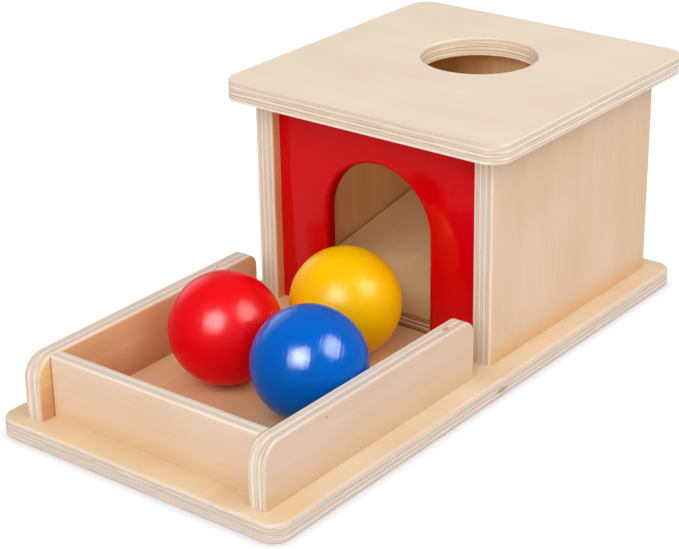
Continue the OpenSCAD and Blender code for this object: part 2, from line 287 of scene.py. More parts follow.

    # painted light and shade in patches seen from above: the tray floor warmer and darker, a shadow line at
    # the ramp's foot, the ball hole's wall and the rail's end outside the tray lighter
    for part, first, last, tone in look.get("lightAndShadePatches", ()):
        middle = [(a + b) / 2 * mm for a, b in zip(first, last)] + [0]
        half = [(b - a) / 2 * mm for a, b in zip(first, last)] + [1]
        away = addNode(tree, "ShaderNodeVectorMath", {
            0: coords.outputs["Object"], 1: middle}, operation="SUBTRACT").outputs[0]
        away = addNode(tree, "ShaderNodeVectorMath", {0: away, 1: half}, operation="DIVIDE").outputs[0]
        away = addNode(tree, "ShaderNodeVectorMath", {0: away}, operation="ABSOLUTE").outputs[0]
        away = addNode(tree, "ShaderNodeSeparateXYZ", {0: away})
        away = addNode(tree, "ShaderNodeMath", {
            0: away.outputs[0], 1: away.outputs[1]}, operation="MAXIMUM").outputs[0]
        within = addNode(tree, "ShaderNodeMath", {0: away, 1: 1.0}, operation="LESS_THAN").outputs[0]
        relit = addNode(tree, "ShaderNodeMix", {
            0: within, 6: face if part == "face" else edge, 7: (*tone, 1)},
            data_type="RGBA", blend_type="MULTIPLY").outputs[2]
        face, edge = (relit, edge) if part == "face" else (face, relit)
    color = addNode(tree, "ShaderNodeMix", {0: onFace, 6: edge, 7: face}, data_type="RGBA").outputs[2]

    # pin knots: small ragged brown spots
    for place, size, tone in look.get("knots", ()):
        away = addNode(tree, "ShaderNodeVectorMath", {
            0: coords.outputs["Object"], 1: [c * mm for c in place]}, operation="SUBTRACT").outputs[0]
        away = addNode(tree, "ShaderNodeVectorMath", {
            0: away, 1: [1 / (s * mm) for s in size]}, operation="MULTIPLY").outputs[0]
        away = addNode(tree, "ShaderNodeVectorMath", {0: away}, operation="LENGTH").outputs["Value"]
        ragged = addNode(tree, "ShaderNodeMath", {
            0: patterns["speckle"], 1: plyMake["knotRagged"], 2: -plyMake["knotRagged"] / 2},
            operation="MULTIPLY_ADD").outputs[0]
        away = addNode(tree, "ShaderNodeMath", {0: away, 1: ragged}, operation="ADD").outputs[0]
        spot = addNode(tree, "ShaderNodeMapRange", {
            "Value": away, "From Min": plyMake["knotRange"][0], "From Max": plyMake["knotRange"][1],
            "To Min": plyMake["knotDeep"], "To Max": 0.0}, interpolation_type="SMOOTHSTEP").outputs[0]
        color = addNode(tree, "ShaderNodeMix", {
            0: spot, 6: color, 7: linearColor(tone)}, data_type="RGBA").outputs[2]

    # end grain drinks the varnish and stays duller; fibres stand a hair proud, glue lines lie lower
    rough = addNode(tree, "ShaderNodeMath", {0: cutAcross, 1: onEdge}, operation="MULTIPLY").outputs[0]
    rough = addNode(tree, "ShaderNodeMapRange", {
        "Value": rough, "To Min": look["rough"], "To Max": look["rough"] + plyMake["endRough"]}).outputs[0]
    roughFibre = addNode(tree, "ShaderNodeMath", {
        0: patterns["fibre"], 1: plyMake["fibreRough"], 2: -plyMake["fibreRough"] / 2},
        operation="MULTIPLY_ADD").outputs[0]
    rough = addNode(tree, "ShaderNodeMath", {0: rough, 1: roughFibre}, operation="ADD").outputs[0]
    height = addNode(tree, "ShaderNodeMix", {
        0: onEdge, 2: patterns["fibre"], 3: edgeFibre}).outputs[0]
    sunk = addNode(tree, "ShaderNodeMath", {
        0: onEdge, 1: plyMake["glueSunk"]}, operation="MULTIPLY").outputs[0]
    height = addNode(tree, "ShaderNodeMath", {
        0: glue, 1: sunk, 2: height}, operation="MULTIPLY_ADD").outputs[0]
    bump = addNode(tree, "ShaderNodeBump", {
        "Height": height, "Strength": plyMake["bump"], "Distance": plyMake["bumpDeep"] * mm}).outputs[0]
    shader = addNode(tree, "ShaderNodeBsdfPrincipled", {
        "Base Color": color, "Roughness": rough, "Normal": bump, "IOR": plyMake["ior"]})
    addNode(tree, "ShaderNodeOutputMaterial", {"Surface": shader.outputs[0]})
    return material


slope = math.radians(9.2)  # of the ramp
baseFront, baseTop = nodeBox("base_board")[0].y, nodeBox("base_board")[1].z
sideFace, frontFace = nodeBox("right_wall")[1].x, nodeBox("front_rail")[0].y
rampSide, rampFoot = nodeBox("ramp")[1].x, nodeBox("ramp")[0].y
railInner = nodeBox("right_rail")[0].x
# the dark line at the ramp's foot is a painted shadow
footShadowLine = 1.0  # half the width of the dark line at the ramp's foot
# corners: axis, place on it, reach, tone of the painted shade and bounce light; patches of painted
# light or shade: part, two corners seen from above, tint; knots: place, size, tone
plyDefaults = {
    "plies": 5, "faceVeneer": 1.5, "glueWide": 0.42, "glue": "#CDBBAA",
    # innerPale and innerWarm: the inner side's tones, partly painted light and bounce light
    "pale": "#E9C9B1", "warm": "#E3C3A1", "innerPale": "#E8B47E", "innerWarm": "#DCA066",
    "contrast": 0.025, "edgeLight": "#F6E8D6", "edgeDark": "#E6D4C0", "rough": 0.42,
    # painted bounce light and shade: faces warmer and a little darker towards the base's top
    "corners": [((0, 0, 1), baseTop, 13.0, "#FFF0CE")],
}
plywoodLooks = {
    "base_board": {
        "name": "sandedPlywoodBase", "grain": (0, 1, 0), "through": (0, 0, 1), "seed": 1,
        "plies": 8, "faceVeneer": 1.2, "glueWide": 0.4,
        "pale": "#F2DDC0", "warm": "#EACFAC", "edgeLight": "#EDDECF", "edgeDark": "#E2D0C3",
        # painted shade and bounce light: warmer towards the front rail; the tray floor painted warmer and
        # darker, with a painted shadow line at the ramp's foot
        "corners": [((0, 1, 0), frontFace, 22.0, "#FFF7E7")],
        "lightAndShadePatches": [
            ("face", (-railInner, frontFace), (railInner, rampFoot), (1.04, 0.91, 0.74)),
            ("face", (-rampSide, rampFoot - footShadowLine), (rampSide, rampFoot + footShadowLine), (0.3, 0.18, 0.1))],
        "knots": [((76.5, 1.5, 4.0), (3.0, 5.5, 1.5), "#AE867C")]},
    "left_wall": {
        "name": "sandedPlywoodLeftWall", "grain": (0, 0, 1), "through": (1, 0, 0), "seed": 2, "inside": 1,
        "plies": 7, "faceVeneer": 1.6, "glue": "#D6C6B6", "innerPale": "#F4C28C", "innerWarm": "#EAB074"},
    "right_wall": {
        "name": "sandedPlywoodRightWall", "grain": (0, 0, 1), "through": (1, 0, 0), "seed": 3, "inside": -1,
        "plies": 7, "faceVeneer": 1.6, "glue": "#D6C6B6", "innerPale": "#F4C28C", "innerWarm": "#EAB074",
        "contrast": 0.032},
    "back_panel": {
        "name": "sandedPlywoodBack", "grain": (0, 0, 1), "through": (0, 1, 0), "seed": 4, "inside": -1,
        "innerPale": "#FFDCA2", "innerWarm": "#F4BE76", "contrast": 0.05},
    "top_board": {
        "name": "sandedPlywoodLid", "grain": (1, 0, 0), "through": (0, 0, 1), "seed": 5, "inside": -1,
        "plies": 6, "faceVeneer": 1.4, "pale": "#F6E4CF", "warm": "#F3DFC7", "contrast": 0.012,
        "corners": [],
        # painted light: the ball hole's wall is made lighter against the shade there
        "lightAndShadePatches": [("edge", (-40, 50), (40, 140), (1.27, 1.26, 1.18))]},  # round the ball hole
    "ramp": {
        "name": "sandedPlywoodRamp", "grain": (0, math.cos(slope), math.sin(slope)),
        "through": (0, -math.sin(slope), math.cos(slope)), "thick": 6.0, "seed": 6,
        "pale": "#FFE0B0", "warm": "#F8D29C", "edgeLight": "#F4DCBA", "edgeDark": "#C89C70", "rough": 0.48,
        "glue": "#A4805C", "glueWide": 0.6,
        # painted shadow lines along the ramp's sides, and painted shade towards its foot
        "corners": [((1, 0, 0), rampSide, 0.9, "#B4845A"), ((1, 0, 0), -rampSide, 0.9, "#B4845A"),
                    ((0, 1, 0), rampFoot, 26.0, "#E4CFB9")]},
    "left_rail": {
        "name": "sandedPlywoodLeftRail", "grain": (0, 1, 0), "through": (1, 0, 0), "seed": 7, "inside": 1,
        "plies": 5, "faceVeneer": 1.9, "glueWide": 0.5, "glue": "#DCCFC2", "contrast": 0.045,
        # painted shade towards the base; the rail's end in front of the tray painted lighter, where it is
        # lit
        "innerPale": "#F4D3A8", "innerWarm": "#E5B280", "corners": [((0, 0, 1), baseTop, 24.0, "#E7CEC2")],
        "lightAndShadePatches": [("face", (-sideFace, baseFront), (0, frontFace), (1.14, 1.26, 1.3))],
        "knots": [((-61.0, -27.0, 37.0), (0.9, 0.9, 0.9), "#6A4A38")]},
    "right_rail": {
        "name": "sandedPlywoodRightRail", "grain": (0, 1, 0), "through": (1, 0, 0), "seed": 8, "inside": -1,
        "plies": 5, "faceVeneer": 1.9, "glueWide": 0.5, "glue": "#DCCFC2",
        "pale": "#E5C7B3", "warm": "#E0C1A4", "corners": [((0, 0, 1), baseTop, 17.0, "#FFFCE8")],
        "knots": [((61.0, -19.5, 37.0), (1.3, 3.0, 3.0), "#C98252"),
                  ((65.5, -106.0, 33.9), (0.7, 0.7, 0.9), "#A67E62")]},
    "front_rail": {
        "name": "sandedPlywoodFrontRail", "grain": (1, 0, 0), "through": (0, 1, 0), "seed": 9, "inside": 1,
        "plies": 4, "faceVeneer": 1.8, "glue": "#E6DCD2", "pale": "#EACEB7", "warm": "#E5C5A6",
        "corners": [((0, 0, 1), baseTop, 17.0, "#FFFCE8")]},
}
plywood = {node: plywoodMaterial(node, {**plyDefaults, **look}) for node, look in plywoodLooks.items()}
for node, material in plywood.items():
    frame["nodes"][node].material_slots[0].material = material
print("plywood boards dressed:", len(plywood))

# turned beech: dowels and the ramp's bearer, bare, fine brown flecks along the grain
beech = {"light": "#D9B98E", "dark": "#BE966A", "fleck": (1.2, 0.35, 4.0), "rough": (0.5, 0.68),
         "bump": 0.2, "bumpDeep": 0.1}
beechMaterial, tree = newMaterial("bareBeech")
coords = addNode(tree, "ShaderNodeTexCoord")
flecks = addNode(tree, "ShaderNodeVectorMath", {
    0: coords.outputs["Object"], 1: [1 / (c * mm) for c in beech["fleck"]]}, operation="MULTIPLY")
flecks = addNode(tree, "ShaderNodeTexNoise", {"Vector": flecks.outputs[0], "Scale": 1.0, "Detail": 3.0})
beechColor = addNode(tree, "ShaderNodeMix", {
    0: flecks.outputs["Fac"], 6: linearColor(beech["light"]), 7: linearColor(beech["dark"])},
    data_type="RGBA")
beechRough = addNode(tree, "ShaderNodeMapRange", {
    "Value": flecks.outputs["Fac"], "To Min": beech["rough"][0], "To Max": beech["rough"][1]})
beechBump = addNode(tree, "ShaderNodeBump", {
    "Height": flecks.outputs["Fac"], "Strength": beech["bump"], "Distance": beech["bumpDeep"] * mm})
beechShader = addNode(tree, "ShaderNodeBsdfPrincipled", {
    "Base Color": beechColor.outputs[2], "Roughness": beechRough.outputs[0],
    "Normal": beechBump.outputs[0]})
addNode(tree, "ShaderNodeOutputMaterial", {"Surface": beechShader.outputs[0]})
for node in ("ramp_bearer", "top_dowels"):
    frame["nodes"][node].material_slots[0].material = beechMaterial


sharpAngle = 0.9  # radians between two faces, over which an edge may be eased


# board cut to an outline, with chosen edges rounded; place puts (a, b, height) in the frame
def cutBoard(name, outline, holes, low, high, place, easings):
    shape = bmesh.new()
    rims = []
    for height in (low, high):
        rings, edges = [], []
        for line in (outline, *holes):
            ring = [shape.verts.new(place(a, b, height)) for a, b in line]
            edges += [shape.edges.new(pair) for pair in zip(ring, ring[1:] + ring[:1])]
            rings.append(ring)
        bmesh.ops.triangle_fill(shape, use_beauty=True, edges=edges)
        rims.append(rings)
    for below, above in zip(*rims):
        for i, vertex in enumerate(below):
            shape.faces.new((below[i - 1], vertex, above[i], above[i - 1]))
    bmesh.ops.recalc_face_normals(shape, faces=shape.faces)
    for radius, steps, chosen in easings:
        sharp = [e for e in shape.edges
                 if e.calc_face_angle(0) > sharpAngle and chosen(e.verts[0].co, e.verts[1].co)]
        bmesh.ops.bevel(shape, geom=sharp, offset=radius * mm, segments=steps, profile=0.5,
                        affect="EDGES", clamp_overlap=True)
    bmesh.ops.remove_doubles(shape, verts=shape.verts, dist=tiny)
    for face in shape.faces:
        face.smooth = True
    piece = newPiece(name, shape)
    piece.modifiers.new("evenNormals", "WEIGHTED_NORMAL").keep_sharp = True
    bakeModifiers(piece)
    return piece


def arcPoints(centre, radius, start, end, steps):
    angles = [math.radians(start + (end - start) * i / steps) for i in range(steps + 1)]
    return [(centre[0] + radius * math.cos(t), centre[1] + radius * math.sin(t)) for t in angles]


# lid: rounded corners, ball hole, all edges eased
lidLow, lidHigh = nodeBox("top_board")
ballHole = next(m for m in frame["record"]["mounts"] if m["name"] == "ball_hole")
lid = {
    "corner": 10.0, "cornerSteps": 16, "edgeEase": 1.0, "edgeSteps": 4,
    "hole": [c / mm for c in ballHole["pos_m"][:2]], "holeRadius": ballHole["dims"]["r_mm"],
    "holeSteps": 120, "holeEase": 0.6, "holeEaseSteps": 5, "holeMargin": 3.0,
}
r = lid["corner"]
lidOutline = []
for x, y, start in ((lidHigh.x - r, lidHigh.y - r, 0), (lidLow.x + r, lidHigh.y - r, 90),
                    (lidLow.x + r, lidLow.y + r, 180), (lidHigh.x - r, lidLow.y + r, 270)):
    lidOutline += arcPoints((x, y), r, start, start + 90, lid["cornerSteps"])
lidHole = arcPoints(lid["hole"], lid["holeRadius"], 0, 360, lid["holeSteps"])[:-1]


def nearHole(co):
    away = math.hypot(co.x / mm - lid["hole"][0], co.y / mm - lid["hole"][1])
    return away < lid["holeRadius"] + lid["holeMargin"]


topBoard = cutBoard(
    "lidBoard", lidOutline, [lidHole], lidLow.z, lidHigh.z,
    lambda a, b, h: (a * mm, b * mm, h * mm),
    [(lid["holeEase"], lid["holeEaseSteps"], lambda p, q: nearHole(p) and nearHole(q)),
     (lid["edgeEase"], lid["edgeSteps"], lambda p, q: not nearHole(p))])
topBoard.data.materials.clear()
topBoard.data.materials.append(plywood["top_board"])
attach(topBoard, "box")
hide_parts("top_board")
print("lid cut")

# red lacquer: sprayed gloss on plywood; mirrors the tray softly, fine orange peel,
# the veneer's upright fibres just telegraph through, and cut edges are darker and duller
redLacquer = {
    "red": "#DC0108", "deep": "#D20006", "edge": "#C4000C", "cloud": 38.0, "cloudRange": (0.3, 0.7),
    "rough": 0.1, "roughSpread": 0.05, "edgeRough": 0.65, "edgeRange": (0.35, 0.9),
    "ior": 1.29, "specular": 0.5, "edgeSpecular": 0.08,
    "peel": 1.6, "fibre": (1.4, 1.4, 30.0), "fibreShare": 0.8, "bump": 0.06, "bumpDeep": 0.1,
}
lacquerMaterial, tree = newMaterial("sprayedRedLacquer")
coords = addNode(tree, "ShaderNodeTexCoord")
peel = addNode(tree, "ShaderNodeTexNoise", {
    "Vector": coords.outputs["Object"], "Scale": 1 / (redLacquer["peel"] * mm), "Detail": 1.0})
fibre = addNode(tree, "ShaderNodeVectorMath", {
    0: coords.outputs["Object"], 1: [1 / (c * mm) for c in redLacquer["fibre"]]}, operation="MULTIPLY")
fibre = addNode(tree, "ShaderNodeTexNoise", {"Vector": fibre.outputs[0], "Scale": 1.0, "Detail": 2.0})
cloud = addNode(tree, "ShaderNodeTexNoise", {
    "Vector": coords.outputs["Object"], "Scale": 1 / (redLacquer["cloud"] * mm), "Detail": 2.0})
lacquerColor = addNode(tree, "ShaderNodeMix", {
    0: cloud.outputs["Fac"], 6: linearColor(redLacquer["red"]), 7: linearColor(redLacquer["deep"])},
    data_type="RGBA")
onEdge = addNode(tree, "ShaderNodeSeparateXYZ", {0: coords.outputs["Normal"]})
onEdge = addNode(tree, "ShaderNodeMath", {0: onEdge.outputs[1]}, operation="ABSOLUTE")
onEdge = addNode(tree, "ShaderNodeMapRange", {
    "Value": onEdge.outputs[0], "From Min": redLacquer["edgeRange"][0],
    "From Max": redLacquer["edgeRange"][1], "To Min": 1.0, "To Max": 0.0},
    interpolation_type="SMOOTHSTEP")
lacquerColor = addNode(tree, "ShaderNodeMix", {
    0: onEdge.outputs[0], 6: lacquerColor.outputs[2], 7: linearColor(redLacquer["edge"])},
    data_type="RGBA")
lacquerRough = addNode(tree, "ShaderNodeMapRange", {
    "Value": cloud.outputs["Fac"], "From Min": redLacquer["cloudRange"][0],
    "From Max": redLacquer["cloudRange"][1], "To Min": redLacquer["rough"],
    "To Max": redLacquer["rough"] + redLacquer["roughSpread"]})
lacquerRough = addNode(tree, "ShaderNodeMix", {
    0: onEdge.outputs[0], 2: lacquerRough.outputs[0], 3: redLacquer["edgeRough"]})
lacquerShine = addNode(tree, "ShaderNodeMix", {
    0: onEdge.outputs[0], 2: redLacquer["specular"], 3: redLacquer["edgeSpecular"]})
fibreHeight = addNode(tree, "ShaderNodeMath", {
    0: fibre.outputs["Fac"], 1: redLacquer["fibreShare"], 2: peel.outputs["Fac"]},
    operation="MULTIPLY_ADD")
lacquerBump = addNode(tree, "ShaderNodeBump", {
    "Height": fibreHeight.outputs[0], "Strength": redLacquer["bump"],
    "Distance": redLacquer["bumpDeep"] * mm})
lacquerShader = addNode(tree, "ShaderNodeBsdfPrincipled", {
    "Base Color": lacquerColor.outputs[2], "Roughness": lacquerRough.outputs[0],
    "Normal": lacquerBump.outputs[0], "IOR": redLacquer["ior"],
    "Specular IOR Level": lacquerShine.outputs[0]})
addNode(tree, "ShaderNodeOutputMaterial", {"Surface": lacquerShader.outputs[0]})

# front panel: housed in the walls' grooves, arched doorway with rounded, painted edges
panelLow, panelHigh = nodeBox("front_panel")
doorway = {"halfWide": 28.5, "header": 21.0, "archSteps": 48, "ease": 2.0, "easeSteps": 6,
           "backEase": 0.7, "backSteps": 4, "near": 0.01}
doorway["spring"] = panelHigh.z - doorway["header"] - doorway["halfWide"]
panelOutline = [(panelLow.x, panelLow.z), (-doorway["halfWide"], panelLow.z)]
panelOutline += arcPoints((0, doorway["spring"]), doorway["halfWide"], 180, 0, doorway["archSteps"])
panelOutline += [(doorway["halfWide"], panelLow.z), (panelHigh.x, panelLow.z),
                 (panelHigh.x, panelHigh.z), (panelLow.x, panelHigh.z)]


def onDoorway(co):
    x, z = abs(co.x) / mm, co.z / mm
    across = x if z <= doorway["spring"] else math.hypot(x, z - doorway["spring"])
    return abs(across - doorway["halfWide"]) < doorway["near"]


def onFrontRim(p, q):
    return onDoorway(p) and onDoorway(q) and max(p.y, q.y) < panelLow.y * mm + tiny


def onBackRim(p, q):
    return onDoorway(p) and onDoorway(q) and min(p.y, q.y) > panelHigh.y * mm - tiny


redPanel = cutBoard(
    "archedPanel", panelOutline, [], panelLow.y, panelHigh.y,
    lambda a, b, h: (a * mm, h * mm, b * mm),
    [(doorway["ease"], doorway["easeSteps"], onFrontRim),
     (doorway["backEase"], doorway["backSteps"], onBackRim)])
redPanel.data.materials.clear()
redPanel.data.materials.append(lacquerMaterial)
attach(redPanel, "box")
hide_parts("front_panel")
print("red panel cut")


# dipped gloss paint on a turned wooden ball: thick film with soft waves and a little haze;
# the lathe's rings show in the highlights
def paintMaterial(look):
    material, tree = newMaterial(look["paint"])
    coords = addNode(tree, "ShaderNodeTexCoord")
    local = addNode(tree, "ShaderNodeMapping", {
        "Vector": coords.outputs["Object"], "Scale": (1 / mm, 1 / mm, 1 / mm),
        "Location": -look["centre"]}).outputs[0]
    wave = addNode(tree, "ShaderNodeTexNoise", {
        "Vector": local, "Scale": 1 / look["waveSize"], "Detail": 2.0}).outputs["Fac"]
    cloud = addNode(tree, "ShaderNodeTexNoise", {
        "Vector": local, "Scale": 1 / look["cloudSize"], "Detail": 2.0}).outputs["Fac"]
    height = addNode(tree, "ShaderNodeVectorMath", {
        0: local, 1: Vector(look["lathe"]).normalized()}, operation="DOT_PRODUCT").outputs["Value"]
    rings = addNode(tree, "ShaderNodeMath", {
        0: cloud, 1: look["ringSway"], 2: height}, operation="MULTIPLY_ADD").outputs[0]
    rings = addNode(tree, "ShaderNodeTexNoise", {
        "W": rings, "Scale": 1 / look["ringPitch"], "Detail": 1.0}, noise_dimensions="1D").outputs["Fac"]
    peel = addNode(tree, "ShaderNodeTexNoise", {
        "Vector": local, "Scale": 1 / look["peelSize"], "Detail": 1.0}).outputs["Fac"]
    relief = addNode(tree, "ShaderNodeMath", {
        0: wave, 1: look["waveDeep"]}, operation="MULTIPLY").outputs[0]
    for pattern, deep in ((rings, look["ringDeep"]), (peel, look["peelDeep"])):
        relief = addNode(tree, "ShaderNodeMath", {
            0: pattern, 1: deep, 2: relief}, operation="MULTIPLY_ADD").outputs[0]
    bump = addNode(tree, "ShaderNodeBump", {"Height": relief, "Strength": 1.0, "Distance": mm}).outputs[0]
    color = addNode(tree, "ShaderNodeMix", {
        0: cloud, 6: linearColor(look["color"]), 7: linearColor(look["deep"])}, data_type="RGBA").outputs[2]
    rough = addNode(tree, "ShaderNodeMapRange", {
        "Value": wave, "From Min": look["roughRange"][0], "From Max": look["roughRange"][1],
        "To Min": look["rough"], "To Max": look["rough"] + look["roughSpread"]}).outputs[0]
    shader = addNode(tree, "ShaderNodeBsdfPrincipled", {
        "Base Color": color, "Roughness": rough, "Normal": bump, "IOR": look["ior"],
        "Coat Weight": look["haze"], "Coat Roughness": look["hazeRough"], "Coat IOR": look["hazeIor"]})
    addNode(tree, "ShaderNodeOutputMaterial", {"Surface": shader.outputs[0]})
    return material


# ball: a cube's grid drawn out to a sphere, so there are no poles; lathe and paint leave it
# a hair uneven
def turnedBall(name, look):
    shape = bmesh.new()
    bmesh.ops.create_cube(shape, size=2.0)
    bmesh.ops.subdivide_edges(shape, edges=shape.edges, cuts=look["cuts"], use_grid_fill=True)
    for vertex in shape.verts:
        direction = Vector([math.tan(c * math.pi / 4) for c in vertex.co]).normalized()
        uneven = noise.noise(direction * look["unevenScale"] + Vector((look["seed"], 0, 0)))
        radius = look["radius"] - look["uneven"] * (uneven + 1) / 2
        vertex.co = (look["centre"] + direction * radius) * mm
    for face in shape.faces:
        face.smooth = True
    bmesh.ops.recalc_face_normals(shape, faces=shape.faces)
    return newPiece(name, shape)


ballMake = {
    "cuts": 47, "uneven": 0.06, "unevenScale": 2.3, "waveSize": 8.0, "ringPitch": 1.8, "ringSway": 2.0,
    "peelSize": 1.1, "cloudSize": 16.0, "roughRange": (0.3, 0.7), "roughSpread": 0.05,
    "haze": 0.0, "hazeRough": 0.45, "hazeIor": 1.3,
}
balls = {
    "red_ball": {
        "piece": "redBall", "slot": "red_paint", "paint": "dippedRedPaint", "seed": 3.1,
        "lathe": (0.75, 0.6, 0.25), "ringDeep": 0.07, "peelDeep": 0.08, "waveDeep": 0.25,
        "rough": 0.13, "ior": 1.13, "haze": 0.1, "color": "#F10010", "deep": "#E9000C"},
    "yellow_ball": {
        "piece": "yellowBall", "slot": "yellow_paint", "paint": "dippedYellowPaint", "seed": 7.7,
        "lathe": (-0.2, 0.5, 0.8), "ringDeep": 0.02, "peelDeep": 0.015, "waveDeep": 0.06,
        "rough": 0.25, "ior": 1.12, "color": "#FFC900", "deep": "#FFBF00"},
    "blue_ball": {
        "piece": "blueBall", "slot": "blue_paint", "paint": "dippedBluePaint", "seed": 12.4,
        "lathe": (0.8, 0.5, -0.1), "ringDeep": 0.11, "peelDeep": 0.02, "waveDeep": 0.25,
        "rough": 0.12, "ior": 1.2, "color": "#0064CC", "deep": "#005EC0"},
}
painted = bpy.data.collections.new("painted")  # what the shine of the lamps falls on
for node, own in balls.items():
    low, high = nodeBox(node)
    look = {**ballMake, **own, "centre": (low + high) / 2, "radius": (high - low).x / 2}
    ball = turnedBall(look["piece"], look)
    ball.data.materials.append(paintMaterial(look))
    painted.objects.link(ball)
    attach(ball, node)
    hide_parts(node)
print("balls turned and painted:", len(balls))

# zinc-plated steel: bright, slightly blue, finely scuffed
zinc = {"light": "#D6DADF", "dark": "#B9BEC6", "scuff": 0.7, "rough": (0.22, 0.42),
        "bump": 0.1, "bumpDeep": 0.05}
zincMaterial, tree = newMaterial("brightZincSteel")
coords = addNode(tree, "ShaderNodeTexCoord")
scuff = addNode(tree, "ShaderNodeTexNoise", {
    "Vector": coords.outputs["Object"], "Scale": 1 / (zinc["scuff"] * mm), "Detail": 3.0})
zincColor = addNode(tree, "ShaderNodeMix", {
    0: scuff.outputs["Fac"], 6: linearColor(zinc["light"]), 7: linearColor(zinc["dark"])},
    data_type="RGBA")
zincRough = addNode(tree, "ShaderNodeMapRange", {
    "Value": scuff.outputs["Fac"], "To Min": zinc["rough"][0], "To Max": zinc["rough"][1]})
zincBump = addNode(tree, "ShaderNodeBump", {
    "Height": scuff.outputs["Fac"], "Strength": zinc["bump"], "Distance": zinc["bumpDeep"] * mm})
zincShader = addNode(tree, "ShaderNodeBsdfPrincipled", {
    "Base Color": zincColor.outputs[2], "Metallic": 1.0, "Roughness": zincRough.outputs[0],
    "Normal": zincBump.outputs[0]})
addNode(tree, "ShaderNodeOutputMaterial", {"Surface": zincShader.outputs[0]})

# wood screw, head down on z = 0: countersunk head with a cross recess, ringed shank, point
screw = {
    "headRadius": 3.45, "rimHigh": 0.15, "headHigh": 2.1, "shankRadius": 1.7, "length": 24.8,
    "plainLong": 3.0, "pitch": 1.3, "rootRadius": 1.25, "rootShares": (0.35, 0.65),
    "neckLong": 0.6, "pointLong": 4.0, "around": 32, "headsApart": 10.35, "flat": 0.01,
    "armHalf": 0.55, "armLong": 1.9, "recessDeep": 1.5, "recessTaper": 0.5,
}
screwNodes = ("wall_screws", "rail_screws", "front_rail_screws")


def screwShape(s):
    shape = bmesh.new()
    profile = [(s["headRadius"], 0.0), (s["headRadius"], s["rimHigh"]), (s["shankRadius"], s["headHigh"]),
               (s["shankRadius"], s["headHigh"] + s["plainLong"])]
    z = s["headHigh"] + s["plainLong"]
    while z + s["pitch"] < s["length"] - s["pointLong"]:
        profile += [(s["rootRadius"], z + share * s["pitch"]) for share in s["rootShares"]]
        profile += [(s["shankRadius"], z + s["pitch"])]
        z += s["pitch"]
    profile += [(s["rootRadius"], z + s["neckLong"])]
    rings = []
    turns = [2 * math.pi * i / s["around"] for i in range(s["around"])]
    for radius, height in profile:
        rings.append([shape.verts.new((radius * math.cos(t) * mm, radius * math.sin(t) * mm, height * mm))
                      for t in turns])
    for below, above in zip(rings, rings[1:]):
        for i in range(s["around"]):
            shape.faces.new((below[i - 1], below[i], above[i], above[i - 1]))
    tip = shape.verts.new((0, 0, s["length"] * mm))
    for i in range(s["around"]):
        shape.faces.new((rings[-1][i - 1], rings[-1][i], tip))
    a, b = s["armHalf"], s["armLong"]
    cross = [(b, -a), (b, a), (a, a), (a, b), (-a, b), (-a, a), (-b, a), (-b, -a),
             (-a, -a), (-a, -b), (a, -b), (a, -a)]
    mouth = [shape.verts.new((x * mm, y * mm, 0)) for x, y in cross]
    floor = [shape.verts.new((x * mm * s["recessTaper"], y * mm * s["recessTaper"], s["recessDeep"] * mm))
             for x, y in cross]
    rimEdges = [shape.edges.get((rings[0][i - 1], rings[0][i])) for i in range(s["around"])]
    mouthEdges = [shape.edges.new((mouth[i - 1], mouth[i])) for i in range(len(mouth))]
    bmesh.ops.triangle_fill(shape, use_beauty=True, edges=rimEdges + mouthEdges)
    for i in range(len(mouth)):
        shape.faces.new((mouth[i - 1], mouth[i], floor[i], floor[i - 1]))
    shape.faces.new(floor)
    bmesh.ops.recalc_face_normals(shape, faces=shape.faces)
    return shape


# a screw goes where the CAD has a head: one place for each ring of lowest points
screwPlaces = []
for node in screwNodes:
    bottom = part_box(node)[0].z
    heads = [v.co for v in frame["nodes"][node].data.vertices if v.co.z < bottom + screw["flat"] * mm]
    while heads:
        first = heads[0]
        head = [c for c in heads if (c - first).length < screw["headsApart"] * mm]
        heads = [c for c in heads if (c - first).length >= screw["headsApart"] * mm]
        lows, highs = ([f(c[i] for c in head) for i in range(3)] for f in (min, max))
        screwPlaces.append((Vector(lows) + Vector(highs)) / 2)
screwModel = newPiece("oneScrew", screwShape(screw))
points = bmesh.new()
for place in screwPlaces:
    points.verts.new(place)
baseScrews = newPiece("baseScrews", points)

# sets a screw on every point, each one driven home at its own turn
screwTree = bpy.data.node_groups.new("driveScrews", "GeometryNodeTree")
for name, kind in (("Points", "NodeSocketGeometry"), ("Screw", "NodeSocketObject"),
                   ("Quarter turn", "NodeSocketFloat"), ("Seed", "NodeSocketInt"),
                   ("Finish", "NodeSocketMaterial")):
    screwTree.interface.new_socket(name=name, in_out="INPUT", socket_type=kind)
screwTree.interface.new_socket(name="Screws", in_out="OUTPUT", socket_type="NodeSocketGeometry")
given = addNode(screwTree, "NodeGroupInput")
driven = addNode(screwTree, "FunctionNodeRandomValue", {
    3: given.outputs["Quarter turn"], "Seed": given.outputs["Seed"]}, data_type="FLOAT")
drivenTurn = addNode(screwTree, "ShaderNodeCombineXYZ", {2: driven.outputs[1]})
drivenTurn = addNode(screwTree, "FunctionNodeEulerToRotation", {0: drivenTurn.outputs[0]})
oneScrew = addNode(screwTree, "GeometryNodeObjectInfo", {"Object": given.outputs["Screw"]})
placed = addNode(screwTree, "GeometryNodeInstanceOnPoints", {
    "Points": given.outputs["Points"], "Instance": oneScrew.outputs["Geometry"],
    "Rotation": drivenTurn.outputs[0]})
solid = addNode(screwTree, "GeometryNodeRealizeInstances", {0: placed.outputs[0]})
plated = addNode(screwTree, "GeometryNodeSetMaterial", {
    "Geometry": solid.outputs[0], "Material": given.outputs["Finish"]})
addNode(screwTree, "NodeGroupOutput", {0: plated.outputs[0]})
screwSettings = {"Screw": screwModel, "Quarter turn": math.pi / 2, "Seed": 5, "Finish": zincMaterial}
screwing = baseScrews.modifiers.new("driveScrews", "NODES")
screwing.node_group = screwTree
